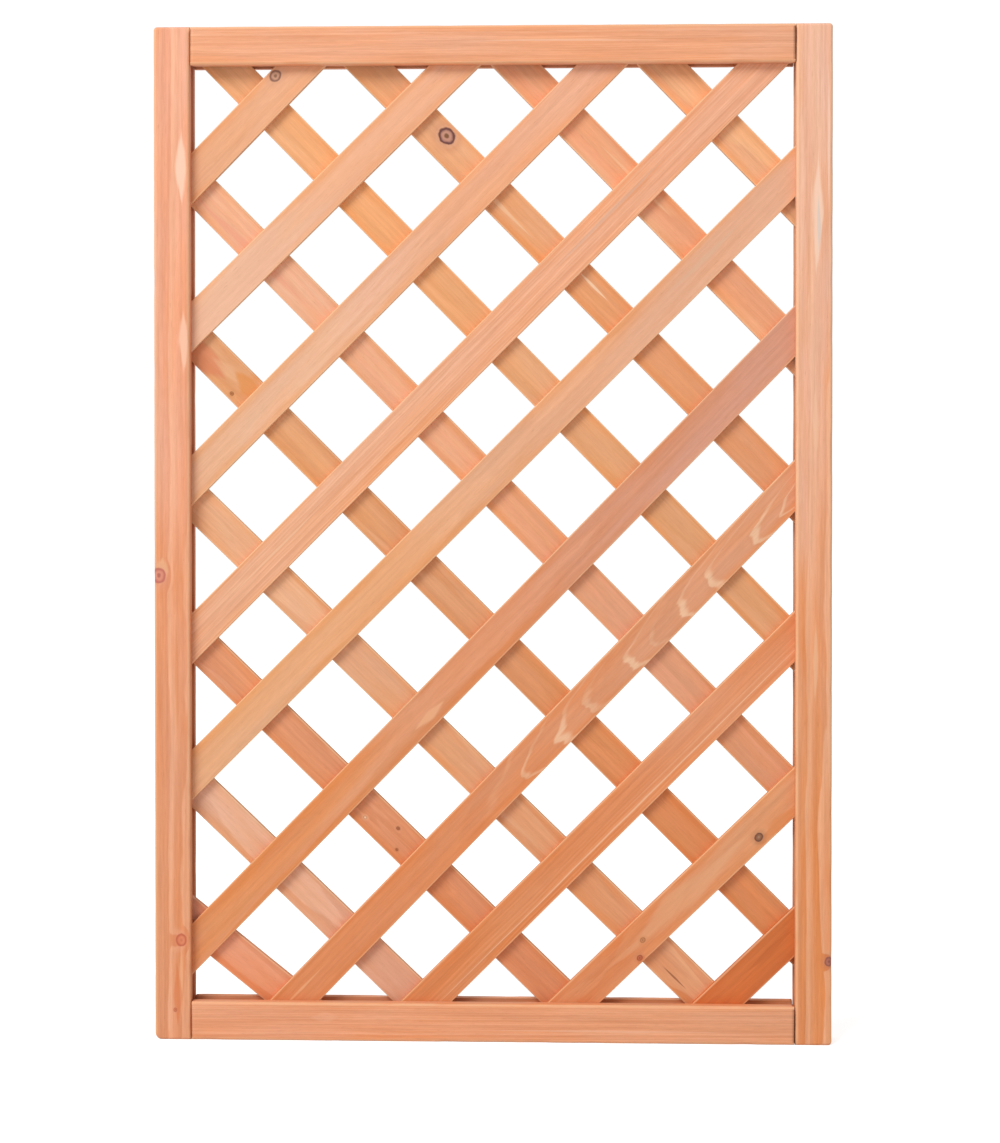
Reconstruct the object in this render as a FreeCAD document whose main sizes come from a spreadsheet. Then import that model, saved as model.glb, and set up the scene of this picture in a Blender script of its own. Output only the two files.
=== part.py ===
import FreeCAD, Part
import math
import os
import Sketcher

# Framed diagonal lattice panel in stained softwood, in millimetres.
# The origin is at the middle of the underside. +X runs to the viewer's right, +Z is up,
# and the front, where the slats rise to the right, faces -Y.

# Driving dimensions. Each is one cell of the "dims" sheet, under the alias given here.
DIMENSIONS = {
    # overall
    "panel_width": 600,
    "panel_height": 900,
    "frame_depth": 30,
    # frame members, across their faces
    "stile_width": 32,
    "rail_width": 34,
    "arris_radius": 2.5,
    "stile_end_round": 3,
    "worn_foot_round": 6,
    # the groove along each member's inner edge, and the stub tenons that fill it at the corners
    "groove_depth": 9,
    "groove_clearance": 0.4,
    "tenon_end_gap": 0.5,
    "shoulder_gap": 0.8,
    # lattice slats
    "slat_width": 32,
    "slat_thickness": 6,
    "slat_edge_radius": 0.7,
    "slat_pitch": 94,
    "slat_angle": 45,
    "slat_end_gap": 1,
    "shortest_slat": 60,
    "front_layer_offset": -15,
    "back_layer_offset": -19,
    # wire staples at the crossings
    "staple_crown": 10,
    "staple_leg": 10,
    "staple_wire_width": 1.2,
    "staple_wire_thickness": 0.6,
    "staple_bend_radius": 0.45,
    "staple_frame_clearance": 2,
    # countersunk screws at the corners
    "screw_length": 60,
    "screw_diameter": 4,
    "screw_root_diameter": 2.8,
    "screw_head_diameter": 7.6,
    "screw_thread_length": 36,
    "screw_thread_pitch": 2,
    "screw_point_length": 5,
    "screw_sink": 0.5,
    "screw_recess_width": 4,
    "screw_recess_slot": 0.9,
    "screw_recess_depth": 2,
    "screw_edge_distance": 7,
    "screw_spacing": 11,
}

# How the slats were laid by hand, from the top of each layer down: how far each lies off the even
# pitch, in millimetres towards the top, and how much steeper than the slat angle it is, in degrees.
FRONT_LAY = [
    (5, 0.6), (6, -0.5), (4, 0.2), (-2, 0.1), (5.5, 0),
    (-4.5, 0.8), (-6.5, 1), (-3, 0), (-6, -1), (-1, -1),
]
BACK_LAY = [
    (-5, 0.8), (-3.5, 0.7), (-1.5, 0.4), (0.5, 0.6), (1.5, 0.4),
    (0.5, 0), (-4.5, -0.9), (0, -0.9), (0.5, -1.3), (4, -6.3),
]

doc = FreeCAD.newDocument("lattice_panel")
dims = doc.addObject("Spreadsheet::Sheet", "dims")


def add_dimension(alias, size):
    """Writes one driving dimension to the next row of the sheet."""
    row = len(aliases) + 1
    aliases.append(alias)
    dims.set(f"A{row}", alias)
    dims.set(f"B{row}", str(size))
    dims.setAlias(f"B{row}", alias)


def size_of(expression):
    """The value of an expression on the sheet, as a plain number."""
    return float(dims.evalExpression(expression))


def same(first, second):
    return abs(first - second) < 1e-4


def ends(edge):
    return [vertex.Point for vertex in edge.Vertexes]


def profile(body, name, plane_role, corners):
    """A closed straight-sided sketch, each corner tied to a pair of expressions on the sheet."""
    sketch = body.newObject("Sketcher::SketchObject", name)
    planes = [plane for plane in body.Origin.OriginFeatures if plane.Role == plane_role]
    sketch.AttachmentSupport = [(planes[0], "")]
    sketch.MapMode = "FlatFace"
    points = [FreeCAD.Vector(size_of(across), size_of(along), 0) for across, along in corners]
    for number, point in enumerate(points):
        following = points[(number + 1) % len(points)]
        sketch.addGeometry(Part.LineSegment(point, following), False)
    for number in range(len(points)):
        following = (number + 1) % len(points)
        sketch.addConstraint(Sketcher.Constraint("Coincident", number, 2, following, 1))
    for number, (across, along) in enumerate(corners):
        for kind, expression, distance in (
            ("DistanceX", across, points[number].x),
            ("DistanceY", along, points[number].y),
        ):
            tie = sketch.addConstraint(Sketcher.Constraint(kind, -1, 1, number, 1, distance))
            sketch.setExpression(f"Constraints[{tie}]", expression)
    return sketch


def pad(body, name, sketch, length, symmetric):
    feature = body.newObject("PartDesign::Pad", name)
    feature.Profile = sketch
    feature.SideType = "Symmetric" if symmetric else "One side"
    feature.setExpression("Length", length)
    doc.recompute()
    return feature


def round_edges(body, name, base, wanted, radius):
    """Rounds the edges of a body's last feature that pass the test."""
    edges = enumerate(base.Shape.Edges, 1)
    feature = body.newObject("PartDesign::Fillet", name)
    feature.Base = (base, [f"Edge{number}" for number, edge in edges if wanted(edge)])
    feature.setExpression("Radius", radius)
    doc.recompute()
    return feature


def along_face(longer_than):
    """A test for the long edges of a frame member's front and back faces."""
    depth = size_of(HALF_DEPTH)

    def wanted(edge):
        return edge.Length > longer_than and all(same(abs(end.y), depth) for end in ends(edge))

    return wanted


def cut(name, base, tool):
    """The finished piece: a blank less a tool, under the piece's own label."""
    piece = doc.addObject("Part::Cut", name)
    piece.Base = base
    piece.Tool = tool
    piece.Label = name
    return piece


aliases = []
for alias, size in DIMENSIONS.items():
    add_dimension(alias, size)
doc.recompute()

# Sizes that several pieces share, as expressions on the sheet.
HALF_DEPTH = "dims.frame_depth / 2"
INNER_HALF_WIDTH = "(dims.panel_width / 2 - dims.stile_width)"
INNER_HALF_HEIGHT = "(dims.panel_height / 2 - dims.rail_width)"
MIDDLE_HEIGHT = "dims.panel_height / 2"
HALF_GROOVE = "(dims.slat_thickness + dims.groove_clearance / 2)"
TENON_LENGTH = "(dims.groove_depth - dims.tenon_end_gap)"
SLAT_ENGAGEMENT = "(dims.groove_depth - dims.slat_end_gap)"


# Corner screws: two at each corner, through the stile into the end of the rail.
def screw_outline():
    """Half the screw's section, from the head's rim to the point, as (along, radius) pairs."""
    shank = size_of("dims.screw_diameter / 2")
    root = size_of("dims.screw_root_diameter / 2")
    head = size_of("dims.screw_head_diameter / 2")
    length = size_of("dims.screw_length")
    point = size_of("dims.screw_point_length")
    thread = size_of("dims.screw_thread_length")
    step = size_of("dims.screw_thread_pitch")
    rim = (head - shank) / 4
    outline = [(0, 0), (0, head), (rim, head), (rim + head - shank, shank)]
    turns = int((thread - point) / step)
    start = length - point - turns * step
    outline.append((start, shank))
    for turn in range(turns):
        outline.append((start + (turn + 0.25) * step, root))
        outline.append((start + (turn + 0.75) * step, root))
        outline.append((start + (turn + 1) * step, shank))
    outline[-1] = (length - point, root)
    outline.append((length, 0))
    return outline


def screw_solid():
    """A screw with no recess, its head's top at the origin and its point towards +X."""
    corners = [FreeCAD.Vector(along, radius, 0) for along, radius in screw_outline()]
    section = Part.Face(Part.makePolygon(corners + corners[:1]))
    return section.revolve(FreeCAD.Vector(0, 0, 0), FreeCAD.Vector(1, 0, 0), 360)


def recess_solid():
    """The cross recess in a screw's head: two crossing slots that narrow towards the bottom."""
    depth = size_of("dims.screw_recess_depth")
    wide = size_of("dims.screw_recess_width / 2")
    half_slot = size_of("dims.screw_recess_slot / 2")
    corners = [(0, -wide), (0, wide), (depth, wide / 3), (depth, -wide / 3), (0, -wide)]
    outline = [FreeCAD.Vector(along, across, -half_slot) for along, across in corners]
    slot = Part.Face(Part.makePolygon(outline)).extrude(FreeCAD.Vector(0, 0, 2 * half_slot))
    other = slot.copy()
    other.rotate(FreeCAD.Vector(0, 0, 0), FreeCAD.Vector(1, 0, 0), 90)
    return slot.fuse(other)


def screw_places():
    """Where each screw's head lies, and the turn about Z that points it at the rail."""
    half_width = size_of("dims.panel_width / 2 - dims.screw_sink")
    height = size_of("dims.panel_height")
    lower = size_of("dims.screw_edge_distance")
    upper = size_of("dims.screw_edge_distance + dims.screw_spacing")
    for side, turn in ((-1, 0), (1, 180)):
        for level in (lower, upper, height - upper, height - lower):
            place = FreeCAD.Vector(side * half_width, 0, level)
            yield FreeCAD.Placement(place, FreeCAD.Rotation(FreeCAD.Vector(0, 0, 1), turn))


def placed_copies(solid, places):
    """Separate copies of one solid, one at each placement."""
    copies = []
    for place in places:
        copy = solid.copy()
        copy.Placement = place
        copies.append(copy)
    return Part.makeCompound(copies)


corner_screws = doc.addObject("Part::Feature", "corner_screws")
corner_screws.Shape = placed_copies(screw_solid().cut(recess_solid()), screw_places())
corner_screws.Label = "corner_screws"

# The hole that each screw makes: its own outline, and the sunk pocket over its head.
pocket = Part.makeCylinder(
    size_of("dims.screw_head_diameter / 2"),
    size_of("dims.screw_sink") + 1,
    FreeCAD.Vector(0, 0, 0),
    FreeCAD.Vector(-1, 0, 0),
)
screw_holes = doc.addObject("Part::Feature", "screw_holes")
screw_holes.Shape = placed_copies(screw_solid().fuse(pocket), screw_places())


# Stiles: full-height uprights with a groove along the whole inner edge.
def stile(name, side, foot_round):
    """side is -1 for the left and 1 for the right."""
    inner = f"{side} * {INNER_HALF_WIDTH}"
    outer = f"{side} * dims.panel_width / 2"
    groove_floor = f"{side} * ({INNER_HALF_WIDTH} + dims.groove_depth)"
    body = doc.addObject("PartDesign::Body", f"{name}_blank")
    section = profile(body, f"{name}_section", "XY_Plane", [
        (outer, f"-{HALF_DEPTH}"),
        (outer, HALF_DEPTH),
        (inner, HALF_DEPTH),
        (inner, HALF_GROOVE),
        (groove_floor, HALF_GROOVE),
        (groove_floor, f"-{HALF_GROOVE}"),
        (inner, f"-{HALF_GROOVE}"),
        (inner, f"-{HALF_DEPTH}"),
    ])
    length = pad(body, f"{name}_length", section, "dims.panel_height", False)
    outer_x = size_of(outer)
    height = size_of("dims.panel_height")

    def across_end(level):
        return lambda edge: all(same(end.x, outer_x) and same(end.z, level) for end in ends(edge))

    foot = round_edges(body, f"{name}_foot", length, across_end(0), foot_round)
    head = round_edges(body, f"{name}_head", foot, across_end(height), "dims.stile_end_round")
    round_edges(body, f"{name}_arrises", head, along_face(height / 2), "dims.arris_radius")
    return cut(name, body, screw_holes)


left_stile = stile("left_stile", -1, "dims.worn_foot_round")
right_stile = stile("right_stile", 1, "dims.stile_end_round")


# Rails: between the stiles, with a groove along the inner edge and a stub tenon at each end.
def rail(name, level):
    """level turns a height above the rail's outer edge into an expression for Z."""
    body = doc.addObject("PartDesign::Body", f"{name}_blank")
    tenon = profile(body, f"{name}_tenon_section", "YZ_Plane", [
        (f"-{HALF_GROOVE}", level("0")),
        (HALF_GROOVE, level("0")),
        (HALF_GROOVE, level("(dims.rail_width - dims.groove_depth)")),
        (f"-{HALF_GROOVE}", level("(dims.rail_width - dims.groove_depth)")),
    ])
    pad(body, f"{name}_tenons", tenon, f"2 * ({INNER_HALF_WIDTH} + {TENON_LENGTH})", True)
    section = profile(body, f"{name}_section", "YZ_Plane", [
        (f"-{HALF_DEPTH}", level("0")),
        (HALF_DEPTH, level("0")),
        (HALF_DEPTH, level("dims.rail_width")),
        (HALF_GROOVE, level("dims.rail_width")),
        (HALF_GROOVE, level("(dims.rail_width - dims.groove_depth)")),
        (f"-{HALF_GROOVE}", level("(dims.rail_width - dims.groove_depth)")),
        (f"-{HALF_GROOVE}", level("dims.rail_width")),
        (f"-{HALF_DEPTH}", level("dims.rail_width")),
    ])
    length = pad(
        body, f"{name}_length", section, f"2 * ({INNER_HALF_WIDTH} - dims.shoulder_gap)", True,
    )
    half_length = size_of(f"{INNER_HALF_WIDTH} - dims.shoulder_gap")
    round_edges(body, f"{name}_arrises", length, along_face(half_length), "dims.arris_radius")
    return cut(name, body, screw_holes)


bottom_rail = rail("bottom_rail", lambda up: up)
top_rail = rail("top_rail", lambda down: f"dims.panel_height - {down}")

# The space that the slats fill: the opening of the frame and the grooves round it.
lattice_field = doc.addObject("Part::Box", "lattice_field")
lattice_field.setExpression("Length", f"2 * ({INNER_HALF_WIDTH} + {SLAT_ENGAGEMENT})")
lattice_field.setExpression("Width", "dims.frame_depth")
lattice_field.setExpression("Height", f"2 * ({INNER_HALF_HEIGHT} + {SLAT_ENGAGEMENT})")
lattice_field.setExpression("Placement.Base.x", f"-{INNER_HALF_WIDTH} - {SLAT_ENGAGEMENT}")
lattice_field.setExpression("Placement.Base.y", f"-{HALF_DEPTH}")
lattice_field.setExpression(
    "Placement.Base.z", f"{MIDDLE_HEIGHT} - {INNER_HALF_HEIGHT} - {SLAT_ENGAGEMENT}",
)


# Slats: each layer is evenly spaced across the slats from the middle of the opening, less the
# corner slats that would be too short to fasten.
def slats_each_way(layer):
    """How many slats of a layer lie above and below the middle of the opening."""
    reach = size_of(f"({INNER_HALF_WIDTH} + {INNER_HALF_HEIGHT}) / sqrt(2) - dims.shortest_slat / 2")
    offset = size_of(f"dims.{layer}_layer_offset")
    pitch = size_of("dims.slat_pitch")
    above = math.floor((reach - offset) / pitch + 0.5)
    below = math.floor((reach + offset) / pitch + 0.5)
    return above, below


def lay_slats(layer, lay):
    """Adds the drift and the skew of each slat to the sheet, and returns the slats' names with the
    expressions for their distance from the middle, across the slats, and their angle."""
    above, below = slats_each_way(layer)
    laid = []
    for number in range(above + below):
        name = f"{layer}_slat_{number + 1:02d}"
        drift, skew = lay[number % len(lay)]
        add_dimension(f"{name}_drift", drift)
        add_dimension(f"{name}_skew", skew)
        steps = above - 0.5 - number
        across = f"(dims.{layer}_layer_offset + {steps} * dims.slat_pitch + dims.{name}_drift)"
        angle = f"(dims.slat_angle + dims.{name}_skew)"
        laid.append((name, across, angle))
    doc.recompute()
    return laid


front_lay = lay_slats("front", FRONT_LAY)
back_lay = lay_slats("back", BACK_LAY)


# Staples: one at each crossing that lies clear of the frame.
def staple_solid():
    """A staple with the underside of its crown at the origin and its legs towards -Y."""
    half_crown = size_of("dims.staple_crown / 2")
    leg = size_of("dims.staple_leg")
    wide = size_of("dims.staple_wire_width")
    thick = size_of("dims.staple_wire_thickness")
    corners = [
        (-half_crown, -leg),
        (-half_crown, thick),
        (half_crown, thick),
        (half_crown, -leg),
        (half_crown - thick, -leg + thick),
        (half_crown - thick, 0),
        (-half_crown + thick, 0),
        (-half_crown + thick, -leg + thick),
    ]
    outline = [FreeCAD.Vector(across, out, -wide / 2) for across, out in corners]
    face = Part.Face(Part.makePolygon(outline + outline[:1]))
    solid = face.extrude(FreeCAD.Vector(0, 0, wide))
    bends = []
    for edge in solid.Edges:
        if all(same(abs(end.x), half_crown) and same(end.y, thick) for end in ends(edge)):
            bends.append(edge)
    return solid.makeFillet(size_of("dims.staple_bend_radius"), bends)


def crossing_places():
    """The middle of each crossing of a front and a back slat, on the back slats' outer face."""
    room_x = size_of(f"{INNER_HALF_WIDTH} - dims.staple_crown / 2 - dims.staple_frame_clearance")
    room_z = size_of(f"{INNER_HALF_HEIGHT} - dims.staple_crown / 2 - dims.staple_frame_clearance")
    middle = size_of(MIDDLE_HEIGHT)
    out = size_of("dims.slat_thickness")
    for _, front_across, front_angle in front_lay:
        for _, back_across, back_angle in back_lay:
            rising = math.radians(size_of(front_angle))
            falling = math.radians(size_of(back_angle))
            front_at = size_of(front_across)
            back_at = size_of(back_across)
            spread = math.sin(rising + falling)
            x = (back_at * math.cos(rising) - front_at * math.cos(falling)) / spread
            z = (back_at * math.sin(rising) + front_at * math.sin(falling)) / spread
            if abs(x) < room_x and abs(z) < room_z:
                yield FreeCAD.Placement(FreeCAD.Vector(x, out, middle + z), FreeCAD.Rotation())


crossing_staples = doc.addObject("Part::Feature", "crossing_staples")
crossing_staples.Shape = placed_copies(staple_solid(), crossing_places())
crossing_staples.Label = "crossing_staples"


def slat(name, across, angle, rise, near_face):
    """rise is 1 for a slat that rises to the right and -1 for one that falls. near_face is the
    expression for the Y of its front face. The ends are trimmed to the space in the grooves."""
    body = doc.addObject("PartDesign::Body", f"{name}_blank")
    board = body.newObject("PartDesign::AdditiveBox", f"{name}_board")
    length = f"2 * ({INNER_HALF_WIDTH} + {INNER_HALF_HEIGHT})"
    board.setExpression("Length", length)
    board.setExpression("Width", "dims.slat_thickness")
    board.setExpression("Height", "dims.slat_width")
    doc.recompute()
    board_length = size_of(length)
    round_edges(
        body, f"{name}_eased", board, lambda edge: same(edge.Length, board_length),
        "dims.slat_edge_radius",
    )
    half_length = f"{length} / 2"
    lower_edge = f"({across} - dims.slat_width / 2)"
    body.Placement = FreeCAD.Placement(
        FreeCAD.Vector(0, 0, 0), FreeCAD.Rotation(FreeCAD.Vector(0, 1, 0), -rise * 45),
    )
    body.setExpression("Placement.Rotation.Angle", f"{-rise} * {angle}")
    body.setExpression(
        "Placement.Base.x",
        f"-{half_length} * cos({angle}) - {rise} * {lower_edge} * sin({angle})",
    )
    body.setExpression("Placement.Base.y", near_face)
    body.setExpression(
        "Placement.Base.z",
        f"{MIDDLE_HEIGHT} - {rise} * {half_length} * sin({angle}) + {lower_edge} * cos({angle})",
    )
    trimmed = doc.addObject("Part::Common", f"{name}_trimmed")
    trimmed.Base = body
    trimmed.Tool = lattice_field
    return cut(name, trimmed, crossing_staples)


front_slats = [slat(*laid, 1, "-dims.slat_thickness") for laid in front_lay]
back_slats = [slat(*laid, -1, "0") for laid in back_lay]

doc.recompute()

pieces = [left_stile, right_stile, bottom_rail, top_rail]
pieces += front_slats + back_slats
pieces += [crossing_staples, corner_screws]

for item in doc.Objects:
    if "Invalid" in item.State or "Error" in item.State:
        raise RuntimeError(f"{item.Name} failed: {item.State}")
for piece in pieces:
    if piece.Shape.isNull() or not piece.Shape.isValid():
        raise RuntimeError(f"{piece.Label} has no valid shape")

os.makedirs("parts", exist_ok=True)
for piece in pieces:
    piece.Shape.exportStep(f"parts/{piece.Label}.step")
    solids = len(piece.Shape.Solids)
    print(f"{piece.Label}: {solids} solid(s), {piece.Shape.Volume:.0f} mm3")
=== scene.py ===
import math

import bmesh
import bpy
from mathutils import Matrix, Vector, noise


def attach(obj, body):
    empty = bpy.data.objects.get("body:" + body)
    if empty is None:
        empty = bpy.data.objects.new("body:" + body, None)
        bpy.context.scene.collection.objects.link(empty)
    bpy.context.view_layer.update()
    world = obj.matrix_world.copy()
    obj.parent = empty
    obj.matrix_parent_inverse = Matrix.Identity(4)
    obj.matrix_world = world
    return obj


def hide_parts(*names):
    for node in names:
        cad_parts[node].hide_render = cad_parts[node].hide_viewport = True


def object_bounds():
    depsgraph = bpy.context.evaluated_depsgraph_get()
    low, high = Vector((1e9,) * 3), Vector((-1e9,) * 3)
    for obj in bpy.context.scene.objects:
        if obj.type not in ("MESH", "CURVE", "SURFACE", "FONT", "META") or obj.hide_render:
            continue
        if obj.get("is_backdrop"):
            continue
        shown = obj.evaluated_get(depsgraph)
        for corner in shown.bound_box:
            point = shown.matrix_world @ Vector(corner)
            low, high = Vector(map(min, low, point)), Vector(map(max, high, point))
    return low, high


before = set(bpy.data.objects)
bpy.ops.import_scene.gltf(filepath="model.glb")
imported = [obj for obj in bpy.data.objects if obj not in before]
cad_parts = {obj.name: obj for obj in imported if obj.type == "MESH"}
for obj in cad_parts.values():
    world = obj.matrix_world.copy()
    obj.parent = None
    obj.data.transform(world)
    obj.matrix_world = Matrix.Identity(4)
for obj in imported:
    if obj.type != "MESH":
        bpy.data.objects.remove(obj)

low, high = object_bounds()
panel_middle = (low + high) / 2


# ------------------------------------------------------------------------------------------ camera
# A long lens, a little right of the panel's middle and above it, turned almost square to it.
# The downward shift frames a panel whose foot stands well below the lens.
LENS_AT = Vector((0.0841, -1.9, 0.545))
LENS_TILT_DOWN = math.radians(0.6)
LENS_TURN_LEFT = math.radians(1.873)
SENSOR = 36                    # mm, along the picture's longer side
FOCAL_LENGTH = 67.2756         # mm
SHIFT_RIGHT = -0.0148          # both shifts are shares of the sensor
SHIFT_UP = -0.1064

lens = bpy.data.cameras.new("camera")
lens.sensor_width = SENSOR
lens.lens = FOCAL_LENGTH
lens.shift_x = SHIFT_RIGHT
lens.shift_y = SHIFT_UP
camera = bpy.data.objects.new("camera", lens)
camera.location = LENS_AT
camera.rotation_euler = (math.pi / 2 - LENS_TILT_DOWN, 0, LENS_TURN_LEFT)
bpy.context.scene.collection.objects.link(camera)
bpy.context.scene.camera = camera


# ------------------------------------------------------------------------------------------ studio
# A white room. The wide matt floor runs out into the white all round, and one large soft lamp at
# the upper left, in front, gives the narrow soft shadows beside the front slats.
ROOM_LIGHT = 0.515             # how strongly the room lights the panel
ROOM_WHITE = 1.02              # how bright the camera sees it
LAMP_AT = Vector((-2.4, -3.3, 4.2))
LAMP_SIDE = 2.5
LAMP_WATTS = 205
FLOOR_REACH = 14
FLOOR_GREY = 0.8
FLOOR_LIFT = 0.62              # what the camera sees the floor brightened by, to meet the room

bpy.context.scene.view_settings.view_transform = "Standard"

room = bpy.data.worlds.new("white_room")
room.use_nodes = True
room_nodes = room.node_tree.nodes
seen_by_camera = room_nodes.new("ShaderNodeLightPath").outputs["Is Camera Ray"]
brightness = room_nodes.new("ShaderNodeMapRange")
brightness.inputs["To Min"].default_value = ROOM_LIGHT
brightness.inputs["To Max"].default_value = ROOM_WHITE
room.node_tree.links.new(seen_by_camera, brightness.inputs["Value"])
room.node_tree.links.new(brightness.outputs["Result"], room_nodes["Background"].inputs["Strength"])
room_nodes["Background"].inputs["Color"].default_value = (1, 1, 1, 1)
bpy.context.scene.world = room

lamp = bpy.data.lights.new("soft_lamp", "AREA")
lamp.shape = "SQUARE"
lamp.size = LAMP_SIDE
lamp.energy = LAMP_WATTS
lamp_stand = bpy.data.objects.new("soft_lamp", lamp)
lamp_stand.location = LAMP_AT
lamp_stand.rotation_euler = (panel_middle - LAMP_AT).to_track_quat("-Z", "Y").to_euler()
bpy.context.scene.collection.objects.link(lamp_stand)

floor_mesh = bpy.data.meshes.new("floor")
floor_corners = [(-1, -1), (1, -1), (1, 1), (-1, 1)]
floor_mesh.from_pydata([(x * FLOOR_REACH, y * FLOOR_REACH, low.z) for x, y in floor_corners],
                       [], [(0, 1, 2, 3)])
floor = bpy.data.objects.new("floor", floor_mesh)
bpy.context.scene.collection.objects.link(floor)
floor_paint = bpy.data.materials.new("floor_paint")
floor_paint.use_nodes = True
paint_nodes = floor_paint.node_tree.nodes
paint = paint_nodes["Principled BSDF"]
paint.inputs["Base Color"].default_value = (FLOOR_GREY, FLOOR_GREY, FLOOR_GREY, 1)
paint.inputs["Roughness"].default_value = 0.9
paint.inputs["Specular IOR Level"].default_value = 0.1
paint.inputs["Emission Color"].default_value = (1, 1, 1, 1)
lift = paint_nodes.new("ShaderNodeMath")
lift.operation = "MULTIPLY"
lift.inputs[1].default_value = FLOOR_LIFT
floor_paint.node_tree.links.new(
    paint_nodes.new("ShaderNodeLightPath").outputs["Is Camera Ray"], lift.inputs[0])
floor_paint.node_tree.links.new(lift.outputs[0], paint.inputs["Emission Strength"])
floor_mesh.materials.append(floor_paint)
floor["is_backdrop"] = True


# ------------------------------------------------------------------------------------------ stiles
# The two uprights, full height, of planed softwood with a groove along the inner edge. They are
# stained thin and orange, screwed into the rails' ends, and pale along their arrises, rubbed where
# hands have held them and with a painted highlight.
STILE_RUB = 0.0009
GROOVE_HALF_WIDTH = 0.0062
GROOVE_DEPTH = 0.009


class Finish:
    """A finish being mixed: a node tree, with a short call for each kind of node it is made of."""

    def __init__(self, tree):
        self.tree = tree

    def feed(self, socket, value):
        """Links a socket to another node's output, or sets it to a plain value."""
        if isinstance(value, bpy.types.NodeSocket):
            self.tree.links.new(value, socket)
        else:
            socket.default_value = value

    def add(self, kind, **sockets):
        """Adds a node and feeds its inputs by name, with underscores for the spaces in a name."""
        node = self.tree.nodes.new(kind)
        for label, value in sockets.items():
            self.feed(node.inputs[label.replace("_", " ")], value)
        return node

    def use(self, group, **sockets):
        """Places a shared effect in this finish, with its own values."""
        node = self.tree.nodes.new("ShaderNodeGroup")
        node.node_tree = group
        for label, value in sockets.items():
            self.feed(node.inputs[label.replace("_", " ")], value)
        return node.outputs

    def maths(self, operation, *values):
        node = self.tree.nodes.new("ShaderNodeMath")
        node.operation = operation
        for socket, value in zip(node.inputs, values):
            self.feed(socket, value)
        return node.outputs[0]

    def times(self, first, second):
        return self.maths("MULTIPLY", first, second)

    def plus(self, first, second):
        return self.maths("ADD", first, second)

    def less(self, first, second):
        return self.maths("SUBTRACT", first, second)

    def length(self, first, second):
        """The distance made by two distances at right angles."""
        return self.maths("SQRT", self.plus(self.times(first, first), self.times(second, second)))

    def vector_maths(self, operation, first, second):
        node = self.tree.nodes.new("ShaderNodeVectorMath")
        node.operation = operation
        self.feed(node.inputs[0], first)
        self.feed(node.inputs[1], second)
        return node.outputs[0]

    def vector(self, x, y, z):
        return self.add("ShaderNodeCombineXYZ", X=x, Y=y, Z=z).outputs[0]

    def parts(self, vector):
        return self.add("ShaderNodeSeparateXYZ", Vector=vector).outputs

    def grain_noise(self, board, seed, lengthwise, crosswise, detail=2.0, roughness=0.5):
        """Noise drawn out along the grain: lengthwise and crosswise are how many waves a metre."""
        drawn = self.vector_maths("MULTIPLY", board, (lengthwise, crosswise, crosswise))
        drawn = self.vector_maths("ADD", drawn, self.vector(seed, self.times(seed, 1.7), seed))
        node = self.add("ShaderNodeTexNoise", Vector=drawn, Scale=1.0, Detail=detail, Roughness=roughness)
        return node.outputs["Fac"]

    def step(self, value, start, end, low=0.0, high=1.0):
        """A smooth step of the value, from low at start to high at end."""
        node = self.tree.nodes.new("ShaderNodeMapRange")
        node.interpolation_type = "SMOOTHSTEP"
        for label, number in (("Value", value), ("From Min", start), ("From Max", end),
                              ("To Min", low), ("To Max", high)):
            self.feed(node.inputs[label], number)
        return node.outputs["Result"]

    def blend(self, share, first, second, way="MIX"):
        node = self.tree.nodes.new("ShaderNodeMix")
        node.data_type = "RGBA"
        node.blend_type = way
        for number, value in ((0, share), (6, first), (7, second)):
            self.feed(node.inputs[number], value)
        return node.outputs[2]


def effect(name, given, made):
    """A shared effect: an empty node group with the named sockets, and the two ends inside it."""
    group = bpy.data.node_groups.new(name, "ShaderNodeTree")
    for way, sockets in (("INPUT", given), ("OUTPUT", made)):
        for label, kind in sockets.items():
            group.interface.new_socket(label, in_out=way, socket_type=f"NodeSocket{kind}")
    start = group.nodes.new("NodeGroupInput").outputs
    end = group.nodes.new("NodeGroupOutput").inputs
    return group, Finish(group), start, end


# Growth rings round the tree's pith, which runs nearly along the board and outside it. They show
# as arches on a face, lines on an edge and arcs on a cut end. Late wood is each ring's hard rim,
# from the share of the ring's width given by Late From. Crown keeps it to the arches' crowns.
growth_rings, f, given, made = effect(
    "growth_rings",
    {"Board": "Vector", "Pith Through": "Float", "Pith Across": "Float", "Rise": "Float",
     "Drift": "Float", "Ring Width": "Float", "Wander": "Float", "Swell": "Float",
     "Late From": "Float", "Crown": "Float", "Seed": "Float"},
    {"Late Wood": "Float", "Ring Tone": "Float"},
)
along, through, across = f.parts(given["Board"])
deep = f.less(f.less(through, given["Pith Through"]), f.times(along, given["Rise"]))
wide = f.less(f.less(across, given["Pith Across"]), f.times(along, given["Drift"]))
slow = f.grain_noise(given["Board"], given["Seed"], lengthwise=7, crosswise=34)
quick = f.grain_noise(given["Board"], given["Seed"], lengthwise=28, crosswise=170)
wander = f.plus(f.less(slow, 0.5), f.times(f.less(quick, 0.5), 0.16))
radius = f.plus(f.length(deep, wide), f.plus(f.times(wander, given["Wander"]), given["Swell"]))
count = f.maths("DIVIDE", radius, given["Ring Width"])
uneven = f.add("ShaderNodeTexNoise", Vector=f.vector(f.plus(f.times(count, 0.31), given["Seed"]), 0, 0),
               Scale=1.0, Detail=1.0).outputs["Fac"]
count = f.plus(count, f.times(uneven, 2.6))
phase = f.maths("FRACT", count)
year = f.add("ShaderNodeTexWhiteNoise", Vector=f.vector(f.maths("FLOOR", count), given["Seed"], 0))
year = year.outputs["Value"]
rim = f.times(f.step(phase, given["Late From"], 0.86), f.step(phase, 1.0, 0.93))
crown = f.step(f.maths("ABSOLUTE", wide), 0.014, 0.003)
rim = f.times(rim, f.less(1, f.times(given["Crown"], f.less(1, crown))))
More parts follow.
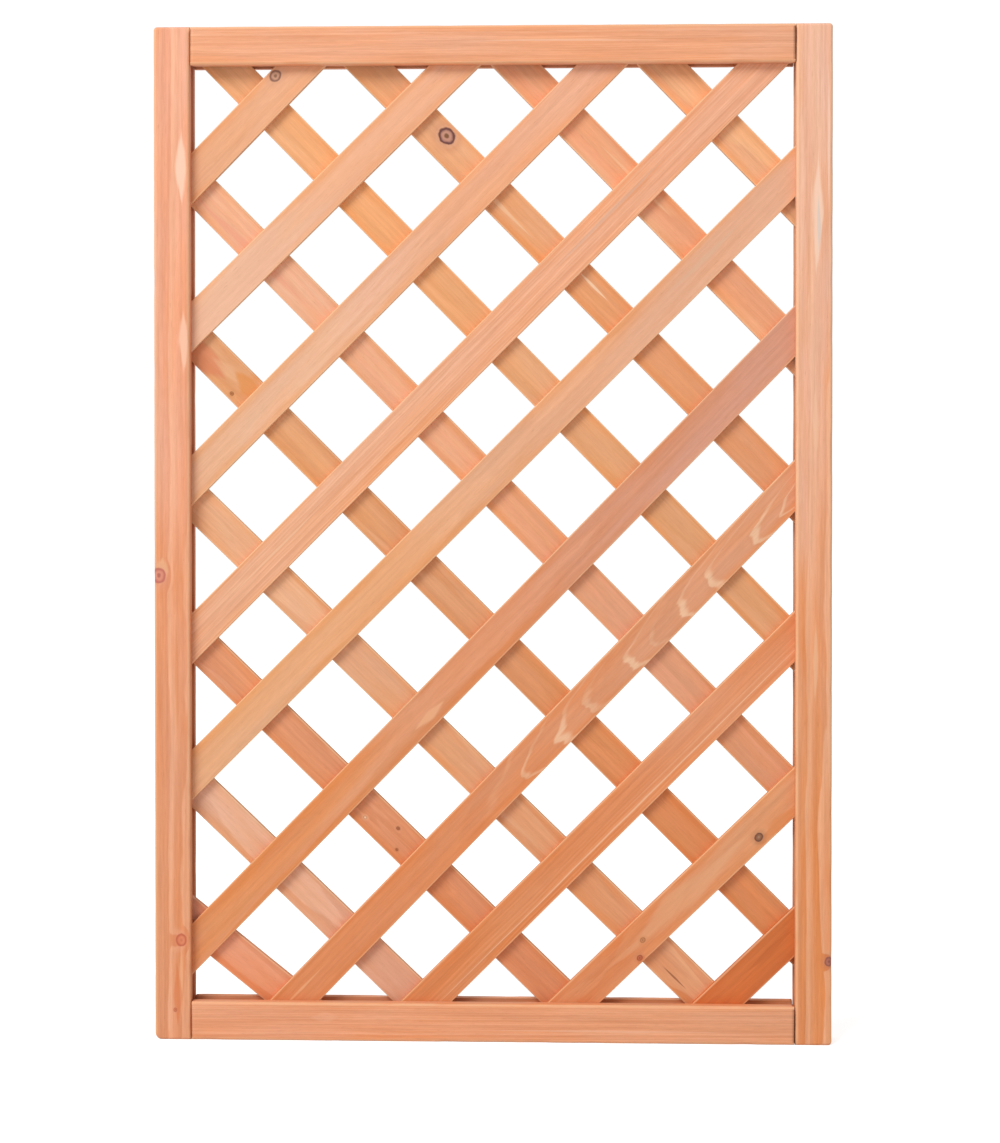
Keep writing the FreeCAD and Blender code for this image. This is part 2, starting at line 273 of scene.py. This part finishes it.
f.feed(made["Late Wood"], f.times(rim, f.step(year, 0.0, 0.7, 0.35, 1.0)))
within_ring = f.times(f.step(phase, 0.0, 0.1), f.step(phase, 1.0, 0.9))
f.feed(made["Ring Tone"], f.plus(f.times(f.less(year, 0.5), within_ring), 0.5))

# A knot: a branch cut through. It has a dark bark line round it, rings of its own and a pith, the
# wood near it is darker, and the board's rings swell round it. It narrows away from the front face.
knot, f, given, made = effect(
    "knot",
    {"Board": "Vector", "Centre": "Vector", "Radius": "Float", "Seed": "Float"},
    {"Body": "Float", "Bark Line": "Float", "Pith": "Float", "Halo": "Float", "Swell": "Float"},
)
along, through, across = f.parts(f.vector_maths("SUBTRACT", given["Board"], given["Centre"]))
ragged = f.grain_noise(given["Board"], given["Seed"], lengthwise=230, crosswise=230, detail=3)
reach = f.length(f.length(f.times(along, 0.86), across), f.times(through, 0.5))
reach = f.maths("DIVIDE", reach, given["Radius"])
reach = f.plus(reach, f.times(f.less(ragged, 0.5), 0.34))
rings = f.step(f.maths("SINE", f.times(reach, 11)), -0.6, 0.9)
f.feed(made["Body"], f.step(reach, 1.08, 0.9))
bark = f.times(f.step(reach, 0.66, 0.9), f.step(reach, 1.2, 1.0))
faint_rings = f.times(f.times(rings, f.step(reach, 0.9, 0.7)), 0.25)
f.feed(made["Bark Line"], f.plus(bark, faint_rings))
f.feed(made["Pith"], f.step(reach, 0.42, 0.16))
f.feed(made["Halo"], f.step(reach, 2.7, 0.9))
f.feed(made["Swell"], f.times(f.step(reach, 2.9, 0.5), f.times(given["Radius"], 0.8)))

# A patch that took more or less stain than the wood round it, drawn to a point along the grain.
stain_patch, f, given, made = effect(
    "stain_patch",
    {"Board": "Vector", "Centre": "Vector", "Half Length": "Float", "Half Width": "Float",
     "Seed": "Float"},
    {"Patch": "Float"},
)
along, _, across = f.parts(f.vector_maths("SUBTRACT", given["Board"], given["Centre"]))
waver = f.less(f.grain_noise(given["Board"], given["Seed"], lengthwise=14, crosswise=60), 0.5)
across = f.plus(across, f.times(waver, f.times(given["Half Width"], 1.6)))
tapered = f.maths("POWER", f.maths("DIVIDE", f.maths("ABSOLUTE", along), given["Half Length"]), 1.4)
spread = f.plus(tapered, f.maths("DIVIDE", f.maths("ABSOLUTE", across), given["Half Width"]))
broken = f.grain_noise(given["Board"], given["Seed"], lengthwise=40, crosswise=500)
spread = f.plus(spread, f.times(f.less(broken, 0.5), 0.5))
f.feed(made["Patch"], f.step(spread, 1.1, 0.6))

# The stained surface of a board: its colour from end to end, stain with painted light in it, with clouds,
# streaks and pores, stain that pooled along its edges, painted shade in its groove, darker end grain,
# arrises pale where rubbed and where a highlight is painted, and the sheen and relief that go with them.
WARM_CLOUD = (1.015, 0.94, 0.85, 1)        # this and the next two multiply the stain's tone
PALE_CLOUD = (0.98, 1.025, 1.11, 1)
POOLED_STAIN = (1.0, 0.86, 0.66, 1)
POOLED_REACH = 0.008
# The pale arris colour: partly rubbed wood and partly a painted highlight.
RUBBED_AND_HIGHLIT_ARRIS = (0.955, 0.62, 0.35, 1)
RUBBED_AND_HIGHLIT_SHARE = 0.42
END_GRAIN_DARKER = 0.26
# How much painted shade darkens the inside of a groove.
GROOVE_PAINTED_SHADE = 0.16

stained_surface, f, given, made = effect(
    "stained_surface",
    {"Board": "Vector", "Facing": "Vector", "Late Wood": "Float", "Ring Tone": "Float",
     "Start Tone": "Color", "End Tone": "Color", "Late Tone": "Color", "Late Strength": "Float",
     "Clouds": "Float", "Streaks": "Float", "Half Length": "Float", "Half Depth": "Float",
     "Half Width": "Float", "Arris": "Float", "Pooled": "Float", "Groove Side": "Float",
     "Seed": "Float"},
    {"Color": "Color", "Roughness": "Float", "Height": "Float"},
)
along, through, across = f.parts(given["Board"])
cloud = f.grain_noise(given["Board"], given["Seed"], lengthwise=6, crosswise=36, detail=3, roughness=0.55)
streak = f.grain_noise(given["Board"], given["Seed"], lengthwise=8, crosswise=300, detail=4,
                       roughness=0.62)
fibre = f.grain_noise(given["Board"], given["Seed"], lengthwise=90, crosswise=2200, roughness=0.6)
pore = f.grain_noise(given["Board"], given["Seed"], lengthwise=120, crosswise=1300, detail=1)
# The end tones are stain and painted light together: they carry the fall of light along the board, mostly
# paler higher up.
share = f.maths("DIVIDE", along, given["Half Length"])
share = f.step(f.plus(share, f.times(f.less(cloud, 0.5), 0.7)), -0.75, 0.75)
colour = f.blend(share, given["Start Tone"], given["End Tone"])
clouded = f.blend(f.step(cloud, 0.32, 0.68), WARM_CLOUD, PALE_CLOUD)
colour = f.blend(given["Clouds"], colour, f.blend(1.0, colour, clouded, "MULTIPLY"))
to_side = f.less(given["Half Width"], f.maths("ABSOLUTE", across))
to_face = f.less(given["Half Depth"], f.maths("ABSOLUTE", through))
pooled = f.step(f.plus(to_side, f.times(f.less(cloud, 0.5), 0.02)), POOLED_REACH, 0.0)
orange = f.blend(1.0, colour, POOLED_STAIN, "MULTIPLY")
colour = f.blend(f.times(pooled, given["Pooled"]), colour, orange)
colour = f.blend(f.times(given["Late Wood"], given["Late Strength"]), colour, given["Late Tone"])
tone = f.plus(1, f.times(f.less(f.step(streak, 0.27, 0.73), 0.5), given["Streaks"]))
tone = f.plus(tone, f.times(f.less(given["Ring Tone"], 0.5), 0.06))
tone = f.times(tone, f.step(fibre, 0.2, 0.8, 0.94, 1.05))
tone = f.times(tone, f.step(pore, 0.68, 0.8, 1.0, 0.88))
end_grain = f.step(f.maths("ABSOLUTE", f.parts(given["Facing"])[0]), 0.75, 0.95)
tone = f.times(tone, f.less(1, f.times(end_grain, END_GRAIN_DARKER)))
# Painted shade: the colour is darker inside the groove, where shade falls.
from_grooved_edge = f.less(given["Half Width"], f.times(across, given["Groove Side"]))
within_depth = f.step(from_grooved_edge, GROOVE_DEPTH + 0.002, GROOVE_DEPTH)
within_width = f.step(f.maths("ABSOLUTE", through), GROOVE_HALF_WIDTH + 0.0012, GROOVE_HALF_WIDTH)
painted_groove_shade = f.times(within_depth, within_width)
tone = f.times(tone, f.less(1, f.times(painted_groove_shade, GROOVE_PAINTED_SHADE)))
tinted = f.vector(tone, f.maths("POWER", tone, 1.3), f.maths("POWER", tone, 1.55))
colour = f.blend(1.0, colour, tinted, "MULTIPLY")
# Pale arrises, the same all round each board: partly rubbed wear and partly a painted highlight.
rubbed_and_highlit = f.plus(f.plus(to_side, to_face), f.times(f.less(streak, 0.5), given["Arris"]))
rubbed_and_highlit = f.step(rubbed_and_highlit, given["Arris"], f.times(given["Arris"], 0.3))
colour = f.blend(f.times(rubbed_and_highlit, RUBBED_AND_HIGHLIT_SHARE), colour, RUBBED_AND_HIGHLIT_ARRIS)
f.feed(made["Color"], colour)
rough = f.less(f.step(fibre, 0.2, 0.8, 0.55, 0.72), f.times(given["Late Wood"], 0.08))
f.feed(made["Roughness"], f.plus(rough, f.times(rubbed_and_highlit, -0.06)))
height = f.plus(f.times(fibre, 0.35), f.times(streak, 0.45))
f.feed(made["Height"], f.less(f.plus(height, f.times(given["Late Wood"], 0.25)), f.times(pore, 0.2)))


def stain(code):
    """A stain's colour from its six-figure screen code, as the plain light that a shader takes."""
    shares = [int(code[i:i + 2], 16) / 255 for i in (0, 2, 4)]
    return (*[(share / 12.92 if share < 0.04 else ((share + 0.055) / 1.055) ** 2.4)
              for share in shares], 1)


def stained_wood(name, half, tones, late="f2b48c", late_strength=0.3, late_from=0.2, crown=0.0,
                 clouds=1.0, streaks=0.14, arris=0.0016, pooled=0.7, groove_side=0.0,
                 pith=(0.06, 0.005), rise=0.006, drift=0.0, ring_width=0.0034, wander=0.006,
                 plain_below=-1.0, knots=(), patches=(), seed=0.0):
    """The finish of one board. half is half its length, depth and width, and tones are its colour at the
    two ends: its stain, with the fall of light along the board painted in. groove_side is 1 or -1 for the
    edge with the groove, and 0 for a board without one.
    pith is how far through and across the board the tree's middle ran, and plain_below is the place
    along it where its figure fades out towards its start. Measured from the board's middle, each
    knot is (along, across, radius, body, bark, core), and each patch is (along, across, half length,
    half width, colour, strength)."""
    material = bpy.data.materials.new(name)
    material.use_nodes = True
    f = Finish(material.node_tree)
    shader = material.node_tree.nodes["Principled BSDF"]
    place = f.add("ShaderNodeTexCoord").outputs
    board = place["Object"]
    swell = 0.0
    knot_masks = []
    for number, (along, across, radius, body, bark, core) in enumerate(knots):
        masks = f.use(knot, Board=board, Centre=(along, -half.y, across), Radius=radius,
                      Seed=seed + number)
        swell = f.plus(swell, masks["Swell"])
        knot_masks.append((masks, body, bark, core))
    rings = f.use(growth_rings, Board=board, Pith_Through=pith[0], Pith_Across=pith[1], Rise=rise,
                  Drift=drift, Ring_Width=ring_width, Wander=wander, Swell=swell,
                  Late_From=late_from, Crown=crown, Seed=seed)
    figured = f.step(f.parts(board)[0], plain_below - 0.06, plain_below + 0.03, 0.0, late_strength)
    surface = f.use(stained_surface, Board=board, Facing=place["Normal"],
                    Late_Wood=rings["Late Wood"], Ring_Tone=rings["Ring Tone"],
                    Start_Tone=stain(tones[0]), End_Tone=stain(tones[1]), Late_Tone=stain(late),
                    Late_Strength=figured, Clouds=clouds, Streaks=streaks,
                    Half_Length=half.x, Half_Depth=half.y, Half_Width=half.z, Arris=arris,
                    Pooled=pooled, Groove_Side=groove_side, Seed=seed)
    colour = surface["Color"]
    for number, (along, across, half_length, half_width, patch_colour, strength) in enumerate(patches):
        patch = f.use(stain_patch, Board=board, Centre=(along, 0, across), Half_Length=half_length,
                      Half_Width=half_width, Seed=seed + 3.7 * number)["Patch"]
        colour = f.blend(f.times(patch, strength), colour, stain(patch_colour))
    for masks, body, bark, core in knot_masks:
        for mask, strength, code in (("Halo", 0.3, body), ("Body", 0.75, body),
                                     ("Bark Line", 0.85, bark), ("Pith", 0.8, core)):
            colour = f.blend(f.times(masks[mask], strength), colour, stain(code))
    f.feed(shader.inputs["Base Color"], colour)
    f.feed(shader.inputs["Roughness"], surface["Roughness"])
    shader.inputs["Specular IOR Level"].default_value = 0.3
    relief = f.add("ShaderNodeBump", Strength=0.4, Distance=0.00025, Height=surface["Height"])
    f.feed(shader.inputs["Normal"], relief.outputs["Normal"])
    return material


RUB_SPACING = 0.006        # how close together the wear along an arris can change
RUB_WAVES = 38             # a metre
RUB_RIPPLES = 140          # a metre, riding on the waves
RIPPLE_SHARE = 0.35


def worked_board(node, slope, rub, seed):
    """A board that takes the place of a CAD node. Its own X runs along the grain, at the given
    slope from +X, Y through its thickness and Z across its face. It keeps the node's shape, with
    its four long arrises rubbed down unevenly, by about rub where they are worn most."""
    turn = Matrix.Rotation(-slope, 4, "Y")
    board = bmesh.new()
    board.from_mesh(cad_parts[node].data)
    board.transform(turn.inverted())
    bmesh.ops.remove_doubles(board, verts=board.verts, dist=1e-6)
    lowest, highest = [Vector([pick(vertex.co[axis] for vertex in board.verts) for axis in range(3)])
                       for pick in (min, max)]
    middle = (lowest + highest) / 2
    half = (highest - lowest) / 2
    board.transform(Matrix.Translation(-middle))
    cuts = int(2 * half.x / RUB_SPACING)
    uncut = [face for face in board.faces if face.calc_perimeter() > 4 * RUB_SPACING]
    for number in range(1, cuts):
        at = 2 * half.x * number / cuts - half.x
        edges = {edge for face in uncut for edge in face.edges}
        corners = {corner for face in uncut for corner in face.verts}
        sliced = bmesh.ops.bisect_plane(
            board, geom=uncut + list(edges) + list(corners), dist=1e-7,
            plane_co=(at, 0, 0), plane_no=(1, 0, 0))
        uncut = [item for item in sliced["geom"] if isinstance(item, bmesh.types.BMFace)
                 and item.calc_center_median().x > at]
    arris_reach = 4 * rub
    for vertex in board.verts:
        x, y, z = vertex.co
        from_corner = (half.y - abs(y)) + (half.z - abs(z))
        if from_corner < arris_reach:
            # The signs of y and z give each of the four arrises its own stretch of the noise.
            wave = noise.noise(Vector((
                x * RUB_WAVES, math.copysign(7, y), math.copysign(5, z) + seed)))
            ripple = noise.noise(Vector((
                x * RUB_RIPPLES, math.copysign(3, y), math.copysign(9, z) + seed)))
            worn = rub * max(0.0, wave + RIPPLE_SHARE * ripple) * (1 - from_corner / arris_reach)
            vertex.co.y -= math.copysign(worn, y)
            vertex.co.z -= math.copysign(worn, z)
    mesh = bpy.data.meshes.new(f"{node}_board")
    board.to_mesh(mesh)
    board.free()
    mesh.polygons.foreach_set("use_smooth", [True] * len(mesh.polygons))
    mesh.set_sharp_from_angle(angle=math.radians(40))
    piece = bpy.data.objects.new(f"{node}_board", mesh)
    piece.matrix_world = turn @ Matrix.Translation(middle)
    bpy.context.scene.collection.objects.link(piece)
    shading = piece.modifiers.new("flat_faces", "WEIGHTED_NORMAL")
    shading.keep_sharp = True
    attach(piece, "root")
    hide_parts(node)
    return piece, half


STILES = {
    "left_stile": dict(
        tones=("e09467", "eda684"), late="f4bb97", groove_side=-1, seed=3.1,
        knots=[(-0.0365, 0.0118, 0.0055, "d98672", "c06a5c", "b06455"),
               (-0.3609, -0.0077, 0.0045, "dd7f5a", "c46448", "d27a58"),
               (-0.4232, -0.0023, 0.0015, "cf7a55", "b9603f", "a85838")],
        patches=[(-0.0325, 0.0085, 0.013, 0.0065, "f1bd8c", 0.6),
                 (0.325, -0.0085, 0.034, 0.0055, "fccfb4", 0.85),
                 (0.1705, -0.0102, 0.031, 0.0042, "fac8aa", 0.75),
                 (-0.395, -0.008, 0.036, 0.0022, "f0b48a", 0.55),
                 (-0.41, -0.004, 0.03, 0.004, "d9733f", 0.5),
                 (-0.13, -0.004, 0.06, 0.002, "d98a55", 0.5)]),
    "right_stile": dict(
        tones=("e09059", "eeb698"), late="f3bf9c", groove_side=1, seed=8.4,
        knots=[(-0.3756, -0.0135, 0.0034, "a96a5e", "97584f", "8e5048")],
        patches=[(0.283, -0.002, 0.056, 0.005, "f8d0b6", 0.85),
                 (0.272, -0.004, 0.03, 0.0017, "d8c8bc", 0.8),
                 (0.345, -0.0125, 0.075, 0.0012, "f6cfba", 0.7),
                 (0.1, -0.001, 0.036, 0.003, "f3c29f", 0.55),
                 (-0.11, -0.001, 0.04, 0.0028, "f0bf98", 0.55)]),
}
for node, finish in STILES.items():
    stile, half = worked_board(node, math.pi / 2, STILE_RUB, finish["seed"])
    stile.data.materials.append(stained_wood(
        f"{node}_wood", half, late_strength=0.42, streaks=0.16, arris=0.003, pooled=0.45,
        pith=(0.05, -0.024), rise=0.003, drift=0.002, ring_width=0.0052, wander=0.0055, **finish))


# ------------------------------------------------------------------------------------------- rails
# The bottom and top rails, of the same section as the stiles but cut close-grained, so they show
# fine straight lines. Their stub tenons fill the stiles' grooves, and two screws hold each end.
RAIL_RUB = 0.0009
RAILS = {
    "bottom_rail": dict(
        tones=("e59c72", "e49d72"), groove_side=1, seed=5.2,
        patches=[(-0.148, 0.004, 0.014, 0.006, "eeb08e", 0.35),
                 (0.1, -0.006, 0.12, 0.0011, "f3bfa0", 0.5)]),
    "top_rail": dict(
        tones=("eaa47c", "e8a27a"), groove_side=-1, seed=7.9,
        patches=[(0.06, 0.003, 0.1, 0.0012, "f5c6a8", 0.5)]),
}
for node, finish in RAILS.items():
    rail, half = worked_board(node, 0, RAIL_RUB, finish["seed"])
    rail.data.materials.append(stained_wood(
        f"{node}_wood", half, late="f0b48e", late_strength=0.42, streaks=0.17, arris=0.003, pooled=0.4,
        pith=(0.005, 0.11), rise=0.0, drift=0.005, ring_width=0.0021, wander=0.0035, **finish))


# ------------------------------------------------------------------------------------ front slats
# Ten thin planed slats that rise to the right, laid over the back ones and stapled at every
# crossing, with their ends loose in the frame's grooves. Each was cut and stained on its own, so
# no two match: tones, with painted light in them, run from the lower end to the upper one.
SLAT_RUB = 0.00028


def slope_of(node):
    """A slat's slope, from the widest of the node's upright faces, which is its long edge."""
    upright = [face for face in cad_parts[node].data.polygons if abs(face.normal.y) < 0.02]
    normal = max(upright, key=lambda face: face.area).normal
    return math.atan2(abs(normal.x), abs(normal.z))


def lay_slat(node, slope, seed, finish):
    """Works a slat in the place of its CAD node and stains it."""
    slat, half = worked_board(node, slope, SLAT_RUB, seed)
    slat.data.materials.append(stained_wood(f"{node}_wood", half, seed=seed, **finish))


FRONT_SLATS = [
    dict(tones=("e4a57b", "e9ab82"), late_strength=0.15, streaks=0.09, clouds=0.7,
         knots=[(0.0486, 0.0098, 0.0045, "c8977c", "7d5548", "8a6248")]),
    dict(tones=("eeb894", "edb18c"), late="eda888", late_strength=0.15, streaks=0.08, clouds=0.8),
    dict(tones=("e8b693", "ecac87"), late="e9a47e", late_strength=0.18, streaks=0.09, clouds=0.8,
         pith=(0.03, -0.01), rise=-0.03),
    dict(tones=("e8a880", "eba781"), late="f4bf9c", late_strength=0.4, streaks=0.17,
         pith=(0.02, 0.05), ring_width=0.0026,
         patches=[(0.17, 0.003, 0.08, 0.0018, "dbb29a", 0.5),
                  (-0.25, 0.002, 0.07, 0.0012, "f3c29c", 0.6)]),
    dict(tones=("e3a87b", "e6aa85"), late_strength=0.15, streaks=0.09, clouds=0.8,
         patches=[(0.27, 0.003, 0.05, 0.003, "d9b294", 0.45)]),
    dict(tones=("de9360", "d99a7e"), late="e2a384", late_strength=0.2, streaks=0.1,
         patches=[(-0.0857, -0.0062, 0.02, 0.005, "efb287", 0.7)]),
    dict(tones=("dd8c5b", "de9a72"), late="f3cba6", late_strength=0.62, late_from=0.7, crown=0.7,
         streaks=0.1, pith=(0.043, -0.006), rise=-0.085, ring_width=0.0033, wander=0.008,
         plain_below=-0.03,
         patches=[(-0.31, 0.003, 0.03, 0.0012, "f0b888", 0.5)]),
    dict(tones=("dc8a56", "e2976c"), late="eeab82", late_strength=0.18, streaks=0.14,
         pith=(0.02, -0.06), ring_width=0.0028,
         patches=[(0.02, -0.0085, 0.3, 0.0009, "f7c8a2", 0.6),
                  (0.12, -0.0035, 0.14, 0.0007, "f3bb92", 0.3)]),
    dict(tones=("dc8958", "dd9a6e"), late="e9a678", late_strength=0.25, streaks=0.11,
         knots=[(0.0857, -0.0069, 0.0033, "80583f", "6b4436", "a8846c"),
                (-0.052, -0.0019, 0.002, "cf8a58", "a06440", "8a5335"),
                (-0.065, -0.0115, 0.0022, "c26a48", "9c4630", "8c3c28")],
         patches=[(0.0, 0.0, 0.09, 0.012, "e8ae84", 0.45),
                  (0.108, -0.0085, 0.024, 0.0075, "dc7f3c", 0.45)]),
    dict(tones=("d5763f", "cf7037"), late="c4622c", late_strength=0.25, streaks=0.14,
         patches=[(0.02, 0.003, 0.03, 0.004, "b95c2a", 0.4)]),
]
for number, finish in enumerate(FRONT_SLATS, 1):
    node = f"front_slat_{number:02d}"
    lay_slat(node, slope_of(node), seed=1.3 + 2.17 * number, finish=finish)


# ------------------------------------------------------------------------------------- back slats
# Ten more slats that fall to the right behind the front ones, with the staples' crowns on their
# rear faces. They are rougher stock, more streaked and golden: tones run from the upper end down.
BACK_SLATS = [
    dict(tones=("eea87a", "eba777"), late="f2ba86", late_strength=0.35),
    dict(tones=("ed9f73", "e79e73"), late="f3b98c", late_strength=0.5, streaks=0.13,
         patches=[(-0.03, 0.004, 0.05, 0.002, "f4bf94", 0.6)]),
    dict(tones=("eaa877", "e19c71"), late="dd935f", late_strength=0.4, streaks=0.12,
         knots=[(-0.1767, 0.0055, 0.0065, "bd8676", "4c1e28", "6b4408")],
         patches=[(-0.1, -0.004, 0.045, 0.0022, "f2c49c", 0.6),
                  (0.01, 0.004, 0.02, 0.0016, "f6d3b2", 0.7)]),
    dict(tones=("efac78", "e2a171"), late="d9955d", late_strength=0.35, streaks=0.11),
    dict(tones=("ecb08a", "e09a71"), late="ea9f7c", late_strength=0.35, streaks=0.08,
         pith=(0.024, -0.012), rise=0.02,
         patches=[(-0.3, -0.005, 0.08, 0.006, "e89a7c", 0.5)]),
    dict(tones=("e2a576", "da8957"), late="cf8450", late_strength=0.45, streaks=0.13,
         knots=[(-0.3188, -0.0105, 0.0016, "b8743f", "8f5430", "6e3a22")],
         patches=[(-0.36, -0.006, 0.03, 0.013, "d97c55", 0.6),
                  (-0.336, 0.002, 0.02, 0.006, "e8b48c", 0.4),
                  (-0.313, 0.006, 0.018, 0.012, "dc8a40", 0.65)]),
    dict(tones=("e6aa80", "de996e"), late="eeb88e", late_strength=0.35, streaks=0.11,
         pith=(0.03, 0.0), rise=0.03,
         patches=[(0.283, -0.006, 0.016, 0.001, "9a5a3a", 0.8)]),
    dict(tones=("e49d74", "df8e61"), late="d07f50", late_strength=0.4, streaks=0.12,
         knots=[(0.0176, 0.0065, 0.0014, "b2673f", "80432a", "6e3a22"),
                (-0.0103, -0.0072, 0.0014, "efc39c", "b87550", "f3cfa8"),
                (0.03, -0.008, 0.0011, "b2673f", "8a4a2e", "6e3a22")]),
    dict(tones=("e4ab89", "e2a17e"), late="efbb9d", late_strength=0.4, streaks=0.08),
    dict(tones=("e79874", "e4956b"), late="f0ab88", late_strength=0.3, streaks=0.07),
]
for number, finish in enumerate(BACK_SLATS, 1):
    node = f"back_slat_{number:02d}"
    lay_slat(node, -slope_of(node), seed=31.7 + 1.93 * number, finish=finish)


# ------------------------------------------------------------------------------ staples and screws
# Galvanised wire staples, one driven into each crossing from behind, and yellow-passivated
# countersunk screws, two at each corner. Their plating is finely scratched and dull in patches.


def plated_steel(name, plating, dulled, roughness):
    """Plated steel: roughness is that of the bright plating, and the dulled patches are rougher."""
    material = bpy.data.materials.new(name)
    material.use_nodes = True
    f = Finish(material.node_tree)
    shader = material.node_tree.nodes["Principled BSDF"]
    place = f.add("ShaderNodeTexCoord").outputs["Object"]
    mottle = f.grain_noise(place, seed=0.0, lengthwise=700, crosswise=700, detail=3)
    scratch = f.grain_noise(place, seed=4.0, lengthwise=300, crosswise=4000)
    dull = f.step(mottle, 0.45, 0.7)
    f.feed(shader.inputs["Base Color"], f.blend(dull, stain(plating), stain(dulled)))
    rough = f.plus(f.times(dull, 0.25), f.step(scratch, 0.3, 0.7, roughness, roughness + 0.12))
    f.feed(shader.inputs["Roughness"], rough)
    shader.inputs["Metallic"].default_value = 1.0
    relief = f.add("ShaderNodeBump", Strength=0.2, Distance=0.00005, Height=scratch)
    f.feed(shader.inputs["Normal"], relief.outputs["Normal"])
    return material


for node, plating, dulled, roughness in (
    ("crossing_staples", "c9cac8", "97938c", 0.28),
    ("corner_screws", "d9c48a", "a08a5c", 0.25),
):
    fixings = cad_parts[node]
    fixings.data.materials.clear()
    fixings.data.materials.append(plated_steel(f"{node}_plating", plating, dulled, roughness))

low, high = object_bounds()
